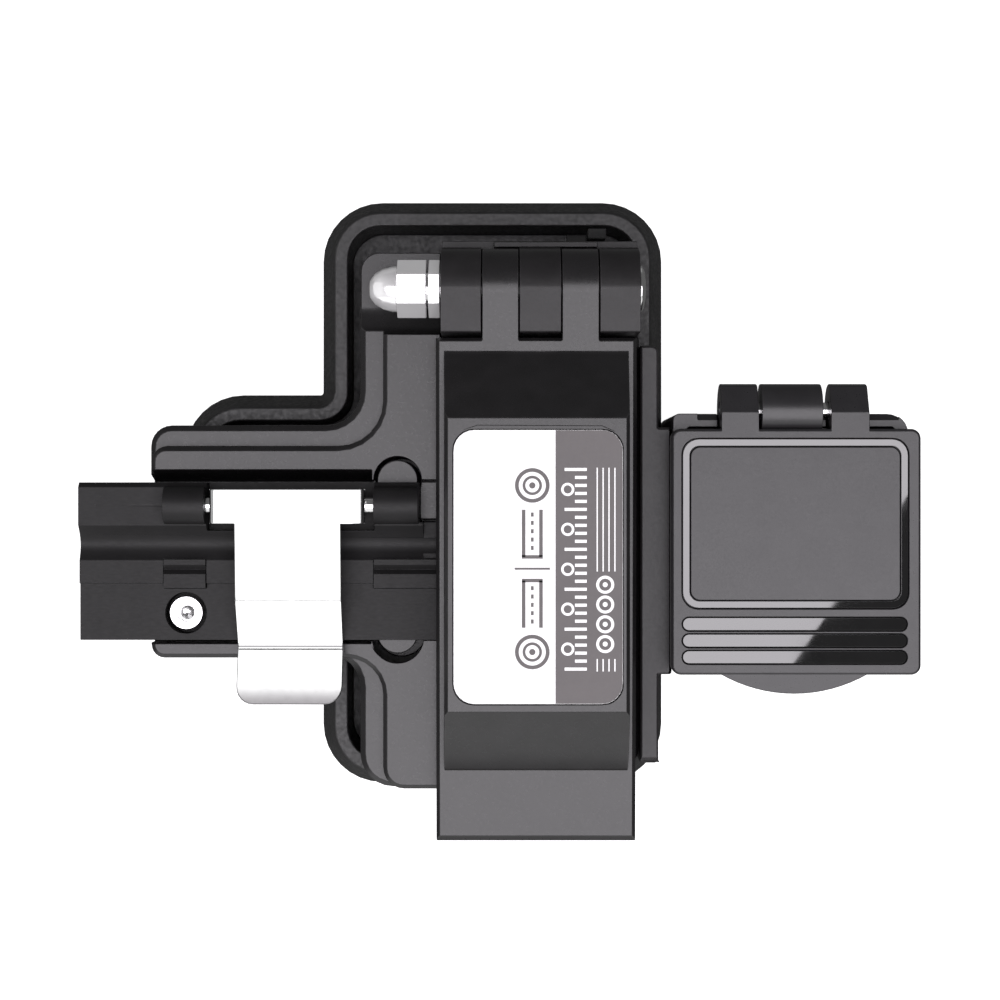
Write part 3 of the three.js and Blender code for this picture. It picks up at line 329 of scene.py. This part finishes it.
def make_materials():
    rubbed = dict(wear=(0.10, 0.098, 0.10))
    return {
        "casting": finish("powder_coated_casting", (0.010, 0.0095, 0.010), (0.014, 0.0132, 0.014),
                          (0.27, 0.33), specular=0.54, grain=2600, grain_depth=0.004, **rubbed),
        "casting_lug": finish("bracket_coating", (0.015, 0.0142, 0.0148), (0.020, 0.019, 0.0198),
                              (0.3, 0.38), specular=0.27, grain=2600, grain_depth=0.004, **rubbed),
        "side_coating": finish("side_plate_coating", (0.016, 0.015, 0.016), (0.021, 0.02, 0.021),
                               (0.3, 0.38), specular=0.34, grain=2600, grain_depth=0.004, **rubbed),
        "box_plastic": finish("box_plastic", (0.018, 0.0172, 0.0186), (0.023, 0.0222, 0.0236),
                              (0.28, 0.35), specular=0.5, grain=3600, grain_depth=0.006),
        "tray": finish("black_nylon", (0.010, 0.010, 0.010), (0.020, 0.0195, 0.020), (0.38, 0.6), patch=420,
                       grain=1500, grain_depth=0.012, wear=(0.05, 0.05, 0.05)),
        "anodised": finish("black_anodised", (0.010, 0.0096, 0.010), (0.013, 0.0125, 0.013), (0.45, 0.55),
                           specular=0.22, grain=4200, grain_depth=0.006, stretch=(0.25, 1, 1),
                           wear=(0.07, 0.07, 0.072), wear_width=0.15),
        "plated": finish("nickel_plate", (0.86, 0.86, 0.87), (0.93, 0.925, 0.93), (0.10, 0.2), metallic=1.0,
                         patch=160, grain=900, grain_depth=0.002),
        # painted shade: a dark stripe stands for the shade in the crease of the thumb tab, and a darkening of
        # its far end for the shade of a downward curve there that the geometry does not have
        "clamp": finish("clamp_steel", (0.86, 0.86, 0.87), (0.93, 0.925, 0.93), (0.12, 0.2), metallic=1.0,
                        patch=160, grain=900, grain_depth=0.001,
                        shade_band=("Y", -20.03, -19.8, (0.25, 0.24, 0.25)),
                        shade_fade=("Y", -24.6, -28.2, (0.29, 0.28, 0.29))),
        # painted shade: a dark stripe over the length inside the lugs, which no light reaches
        "bolt": finish("bolt_steel", (0.80, 0.80, 0.80), (0.88, 0.875, 0.88), (0.12, 0.2), metallic=1.0,
                       patch=160, grain=900, grain_depth=0.001, shade_band=("X", -8.4, 21.32, (0.03, 0.03, 0.03))),
        "nickel": finish("bright_nickel", (0.88, 0.875, 0.88), (0.94, 0.935, 0.94), (0.10, 0.18),
                         metallic=0.6, patch=160, grain=900, grain_depth=0.001),
        "steel": finish("ground_steel", (0.42, 0.42, 0.43), (0.56, 0.56, 0.57), (0.26, 0.42), metallic=1.0,
                        grain=2600, grain_depth=0.004, stretch=(1, 0.05, 1)),
        "rubber": finish("black_rubber", (0.016, 0.016, 0.016), (0.024, 0.024, 0.024), (0.7, 0.85),
                         specular=0.3, grain=3800, grain_depth=0.03),
        "plastic": finish("grained_plastic", (0.018, 0.0172, 0.0188), (0.023, 0.0222, 0.0238), (0.27, 0.34),
                          grain=3600, grain_depth=0.01),
        "inlay": finish("gloss_black", (0.008, 0.0078, 0.0082), (0.011, 0.0107, 0.0112), (0.015, 0.03),
                        ior=1.75, grain=300, grain_depth=0.0001),
        "label": finish("label_white", (0.86, 0.86, 0.86), (0.9, 0.9, 0.9), (0.35, 0.45), grain=2400,
                        grain_depth=0.002),
        "seam": finish("seam_shadow", (0.004, 0.004, 0.004), (0.006, 0.006, 0.006), (0.8, 0.9), specular=0.1,
                       grain=2400, grain_depth=0.002),
        "label_grey": finish("label_grey", (0.129, 0.120, 0.121), (0.137, 0.127, 0.128), (0.5, 0.6),
                             specular=0.25, grain=2400, grain_depth=0.002),
        "carbide": finish("polished_carbide", (0.30, 0.30, 0.31), (0.40, 0.40, 0.41), (0.15, 0.3),
                          metallic=1.0, grain=1800, grain_depth=0.003),
    }


# ---- pieces made from the frame's solids ---------------------------------------------------------
BEVEL_MM = {
    "main_body": 0.16, "base_tray": 0.3, "arm_frame": 0.14, "arm_cover": 0.12, "hinge_bracket": 0.12,
    "side_plate": 0.15, "fibre_guide": 0.1, "scrap_box": 0.12, "box_lid": 0.14, "clamp_plate": 0.2,
    "lid_inlay": 0.08, "grip_bar_1": 0.08, "grip_bar_2": 0.08, "grip_bar_3": 0.08, "label_plate": 0.05,
    "vgroove_insert_outer": 0.05, "vgroove_insert_inner": 0.05, "anvil": 0.1, "blade_wheel": 0.03,
    "acorn_nut": 0.18, "jam_nut": 0.18, "anvil_spring": 0,
}
USUAL_BEVEL_MM = 0.12
SAME_POINT = 0.002 * MM
TINY_EDGE = 0.01 * MM
LEVEL = math.radians(0.3)  # faces that bend less than this are joined into one
SHARP = math.radians(26)  # edges that bend more than this are rounded
ROUNDING_SHARE = 0.42  # how much of a narrow flat the rounding of one edge may take
AHEAD = 0.6  # cosine: an edge counts as lying across a flat when it is this squarely ahead
SAME_FLAT = math.cos(math.radians(2))
ONE_SURFACE = math.cos(math.radians(61))  # faces that bend more than this keep their own shading
SLIVER = 0.3 * MM  # a triangle lower than this takes the direction of the widest surface beside it,
SLIVER_SHAPE = 0.1  # if it is also lower than this share of its length
WIDTH_POWER = 3  # how strongly the wider surface holds its direction at a corner
# painted shade: the blade carriage takes the black rubber finish, so that it is as dark as the shaded gap it
# sits in
NODE_FINISH = {
    "hinge_bracket": "casting_lug", "side_plate": "side_coating", "scrap_box": "box_plastic",
    "blade_carriage": "rubber", "clamp_plate": "clamp", "hinge_bolt": "bolt", "acorn_nut": "nickel",
    "jam_nut": "nickel",
}


def flat_regions(work):
    """Numbers the flat regions of a mesh, and gives a usual width of each: its area over its diagonal."""
    region = [None] * len(work.faces)
    widths = []
    for seed in work.faces:
        if region[seed.index] is not None:
            continue
        region[seed.index] = len(widths)
        queue = [seed]
        area = 0.0
        low, high = seed.verts[0].co.copy(), seed.verts[0].co.copy()
        while queue:
            face = queue.pop()
            area += face.calc_area()
            for vert in face.verts:
                low = Vector(map(min, low, vert.co))
                high = Vector(map(max, high, vert.co))
            for edge in face.edges:
                for other in edge.link_faces:
                    if region[other.index] is None and face.normal.dot(other.normal) > SAME_FLAT:
                        region[other.index] = region[seed.index]
                        queue.append(other)
        widths.append(area / max((high - low).length, 1e-9))
    return region, widths


def weigh_edges(work, width):
    """Marks the sharp edges for rounding, and less so where the flat beside one is narrow."""
    region, _ = flat_regions(work)
    weight = work.edges.layers.float.new("bevel_weight_edge")
    rims = {}
    for edge in work.edges:
        if len(edge.link_loops) == 2 and edge.calc_face_angle(0) > SHARP:
            edge[weight] = 1.0
            for loop in edge.link_loops:
                direction = (loop.link_loop_next.vert.co - loop.vert.co).normalized()
                inward = loop.face.normal.cross(direction)
                rims.setdefault(region[loop.face.index], []).append((edge, inward))
    for rim in rims.values():
        start = np.array([edge.verts[0].co for edge, _ in rim])
        run = np.array([edge.verts[1].co for edge, _ in rim]) - start
        length = np.maximum((run * run).sum(1), 1e-18)
        for k, (edge, inward) in enumerate(rim):
            for share in (0.1, 0.5, 0.9):  # of the edge: near its ends and in the middle
                here = start[k] + run[k] * share
                foot = np.clip(((here - start) * run).sum(1) / length, 0, 1)
                across = start + run * foot[:, None] - here
                reach = np.linalg.norm(across, axis=1)
                ahead = across @ np.array(inward) > AHEAD * np.maximum(reach, 1e-7)
                if ahead.any():
                    edge[weight] = min(edge[weight], ROUNDING_SHARE * reach[ahead].min() / width)


def shade_flats(mesh):
    """Sets the shading normals: the wider of the surfaces that meet at a corner keeps its own direction."""
    work = bmesh.new()
    work.from_mesh(mesh)
    region, widths = flat_regions(work)
    mean = [Vector() for _ in widths]
    for face in work.faces:
        mean[region[face.index]] += face.normal * face.calc_area()
    facing = [mean[number].normalized() for number in region]
    for face in work.faces:
        length = max(edge.calc_length() for edge in face.edges)
        if len(face.verts) == 3 and 2 * face.calc_area() < min(SLIVER, SLIVER_SHAPE * length) * length:
            beside = [other for edge in face.edges for other in edge.link_faces
                      if other.normal.dot(face.normal) > ONE_SURFACE] or [face]
            widest = max(beside, key=lambda other: widths[region[other.index]])
            region[face.index] = region[widest.index]
            facing[face.index] = facing[widest.index]
    normals = [None] * len(mesh.loops)
    for face in work.faces:
        for loop in face.loops:
            meeting = {region[other.index]: facing[other.index] for other in loop.vert.link_faces
                       if facing[other.index].dot(facing[face.index]) > ONE_SURFACE}
            total = Vector()
            for number, normal in meeting.items():
                total += normal * widths[number] ** WIDTH_POWER
            normals[loop.index] = total.normalized() if total.length > 0 else facing[face.index]
    work.free()
    mesh.normals_split_custom_set(normals)


def refine(node):
    """A copy of a frame solid with rounded edges and smooth shading, which stands for it."""
    mesh = NODES[node].data.copy()
    work = bmesh.new()
    work.from_mesh(mesh)
    bmesh.ops.remove_doubles(work, verts=work.verts, dist=SAME_POINT)
    bmesh.ops.dissolve_degenerate(work, edges=work.edges, dist=TINY_EDGE)
    bmesh.ops.dissolve_limit(work, angle_limit=LEVEL, verts=work.verts, edges=work.edges)
    width = BEVEL_MM.get(node, USUAL_BEVEL_MM) * MM
    if width:
        weigh_edges(work, width)
    work.to_mesh(mesh)
    work.free()
    mesh.materials.clear()
    mesh.materials.append(MATERIALS[NODE_FINISH.get(node, SLOT_OF[node])])
    piece = bpy.data.objects.new(node + "_finished", mesh)
    scene.collection.objects.link(piece)
    if width:
        bevel = piece.modifiers.new("edges", "BEVEL")
        bevel.width = width
        bevel.segments = 2
        bevel.limit_method = "WEIGHT"
        bevel.use_clamp_overlap = False
        bevel.miter_outer = "MITER_ARC"
    rounded = bpy.data.meshes.new_from_object(piece.evaluated_get(bpy.context.evaluated_depsgraph_get()))
    piece.modifiers.clear()
    piece.data = rounded
    rounded.name = node + "_mesh"
    for polygon in rounded.polygons:
        polygon.use_smooth = True
    shade_flats(rounded)
    own(piece, node, BODY_OF[node])
    return piece


# ---- printed graphics of the label ----------------------------------------------------------------
# All in mm.
LABEL_TOP = 43.95  # the face the inks lie on
COVER_TOP = 44.0
GREY_INK = 0.012  # thickness
WHITE_INK = 0.022  # more, because it lies over the grey
RULE = 0.17  # width of a fine rule
SCALE = {"x": 13.0, "start": 6.4, "step": 1.15, "marks": 26, "long": 3.2, "short": 1.7, "width": 0.44}
FIBRE_X = 5.15  # the line of the fibre signs
PARTING_Y = -7.9  # where the fibre sign is parted


class Ink:
    """Flat printed shapes, each a thin closed solid on the label."""

    def __init__(self, name, finish_name, thick):
        self.name = name
        self.finish_name = finish_name
        self.low, self.high = (LABEL_TOP - 0.01) * MM, (LABEL_TOP + thick) * MM
        self.work = bmesh.new()

    def loops(self, outer, inner=None):
        """A filled outline, or the band between two outlines with the same number of points."""
        def level(points, z):
            return [self.work.verts.new((x * MM, y * MM, z)) for x, y in points]

        rings = [[level(points, z) for z in (self.low, self.high)] for points in (outer, inner) if points]
        bottom, top = rings[0]
        count = len(bottom)
        for k in range(count):
            n = (k + 1) % count
            self.work.faces.new((bottom[k], bottom[n], top[n], top[k]))
            if inner:
                in_bottom, in_top = rings[1]
                self.work.faces.new((in_bottom[n], in_bottom[k], in_top[k], in_top[n]))
                self.work.faces.new((top[k], top[n], in_top[n], in_top[k]))
                self.work.faces.new((bottom[n], bottom[k], in_bottom[k], in_bottom[n]))
        if not inner:
            self.work.faces.new(top)
            self.work.faces.new(list(reversed(bottom)))

    def bar(self, x0, x1, y0, y1):
        self.loops([(x0, y0), (x1, y0), (x1, y1), (x0, y1)])

    def disc(self, x, y, radius):
        self.loops(around(x, y, radius))

    def ring(self, x, y, radius, width):
        self.loops(around(x, y, radius), around(x, y, radius - width))

    def done(self, body):
        mesh = bpy.data.meshes.new(self.name)
        self.work.to_mesh(mesh)
        self.work.free()
        mesh.materials.append(MATERIALS[self.finish_name])
        made = bpy.data.objects.new(self.name, mesh)
        scene.collection.objects.link(made)
        own(made, None, body)


def around(x, y, radius, count=40):
    turns = [2 * math.pi * k / count for k in range(count)]
    return [(x + radius * math.cos(a), y + radius * math.sin(a)) for a in turns]


def rounded_box(x0, x1, y0, y1, left, right, count=10):
    """A box outline whose left and right corners are rounded to their own radii."""
    points = []
    for cx, cy, radius, start in (
        (x1 - right, y1 - right, right, 0), (x0 + left, y1 - left, left, 90),
        (x0 + left, y0 + left, left, 180), (x1 - right, y0 + right, right, 270),
    ):
        for k in range(count + 1 if radius else 1):
            a = math.radians(start + 90 * k / count)
            points.append((cx + radius * math.cos(a), cy + radius * math.sin(a)))
    return points


def print_panel():
    panel = Ink("label_panel", "label_grey", GREY_INK)
    panel.loops(rounded_box(8.5, 18.15, -27.35, 12.05, 0, 2.95))
    panel.done("arm")


def print_white_marks():
    """On the panel: fine rules, a scale with a ring in every fifth step, and blades that pass a fibre."""
    white = Ink("label_white_marks", "label", WHITE_INK)
    for x in (14.5, 15.35, 16.2, 17.05):
        for low, high in ((-8.3, 6.65), (-22.7, -20.9)):
            white.bar(x - RULE / 2, x + RULE / 2, low, high)
    for mark in range(SCALE["marks"]):
        y = SCALE["start"] - mark * SCALE["step"]
        reach = SCALE["short"] if mark % 5 else SCALE["long"]
        white.bar(SCALE["x"] - reach, SCALE["x"], y - SCALE["width"] / 2, y + SCALE["width"] / 2)
    for mark in range(2, SCALE["marks"] - 1, 5):
        white.ring(10.25, SCALE["start"] - (mark + 0.5) * SCALE["step"], 0.95, 0.36)
    for blade in range(4):
        y = -10.2 - blade * 2.85
        white.ring(15.65, y, 1.3, 0.42)
        white.disc(15.65, y, 0.36)
    white.done("arm")


def print_grey_marks():
    """On the white field: two end faces of a fibre, and between them the fibre lengthways, parted."""
    grey = Ink("label_grey_marks", "label_grey", GREY_INK)
    for y in (PARTING_Y + 12, PARTING_Y - 12):  # jacket, cladding and core
        grey.ring(FIBRE_X, y, 2.5, 0.55)
        grey.ring(FIBRE_X, y, 1.4, 0.4)
        grey.disc(FIBRE_X, y, 0.45)
    gap, end = 1.7, 8.5  # from the parting
    for x in (FIBRE_X - 1.25, FIBRE_X + 1.25):
        grey.bar(x - 0.26, x + 0.26, PARTING_Y + gap, PARTING_Y + end)
        grey.bar(x - 0.26, x + 0.26, PARTING_Y - end, PARTING_Y - gap)
    for y in (PARTING_Y + gap, PARTING_Y - gap):
        grey.bar(FIBRE_X - 1.51, FIBRE_X + 1.51, y - 0.26, y + 0.26)
    for dash in range(5):
        for start in (-5.2, -15.8):
            y = start + dash * 1.2
            grey.bar(FIBRE_X - 0.2, FIBRE_X + 0.2, y, y + 0.6)
    grey.bar(FIBRE_X - 2.55, FIBRE_X + 2.55, PARTING_Y - 0.15, PARTING_Y + 0.15)
    grey.done("arm")


def print_seat_line():
    """The dark line round the upper end of the label's seat: a painted shadow along the edge of the seat."""
    seat = Ink("label_seat_line", "seam", 0.0)
    seat.low, seat.high = (COVER_TOP - 0.05) * MM, (COVER_TOP + 0.004) * MM
    seat.loops([(-4.7, 12.15), (-4.63, 12.12), (-2.76, 12.74), (15.2, 12.64), (17.06, 11.84), (17.12, 11.9),
                (15.22, 12.73), (-2.8, 12.83)])
    seat.done("arm")


def own(piece, node, body):
    """Gives a piece its body, and hides the node that it stands for, if any."""
    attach(piece, body)
    if node:
        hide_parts(node)


def press_springs(pieces):
    """Gives each spring that a joint presses on a mesh of its own."""
    for joint in RECORD["behaviour"]["joints"]:
        for bent in joint.get("deforming_nodes", []):
            spring = pieces[bent["node"]]
            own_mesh(spring)


MATERIALS = make_materials()
make_camera()
make_world()
make_floor()
pieces = {node: refine(node) for node in sorted(NODES)}
print_panel()
print_white_marks()
print_grey_marks()
print_seat_line()
press_springs(pieces)
make_lights([p for n, p in pieces.items() if SLOT_OF[n] == "inlay"], [pieces["clamp_plate"]],
            [pieces["acorn_nut"], pieces["jam_nut"], pieces["hinge_bolt"]])
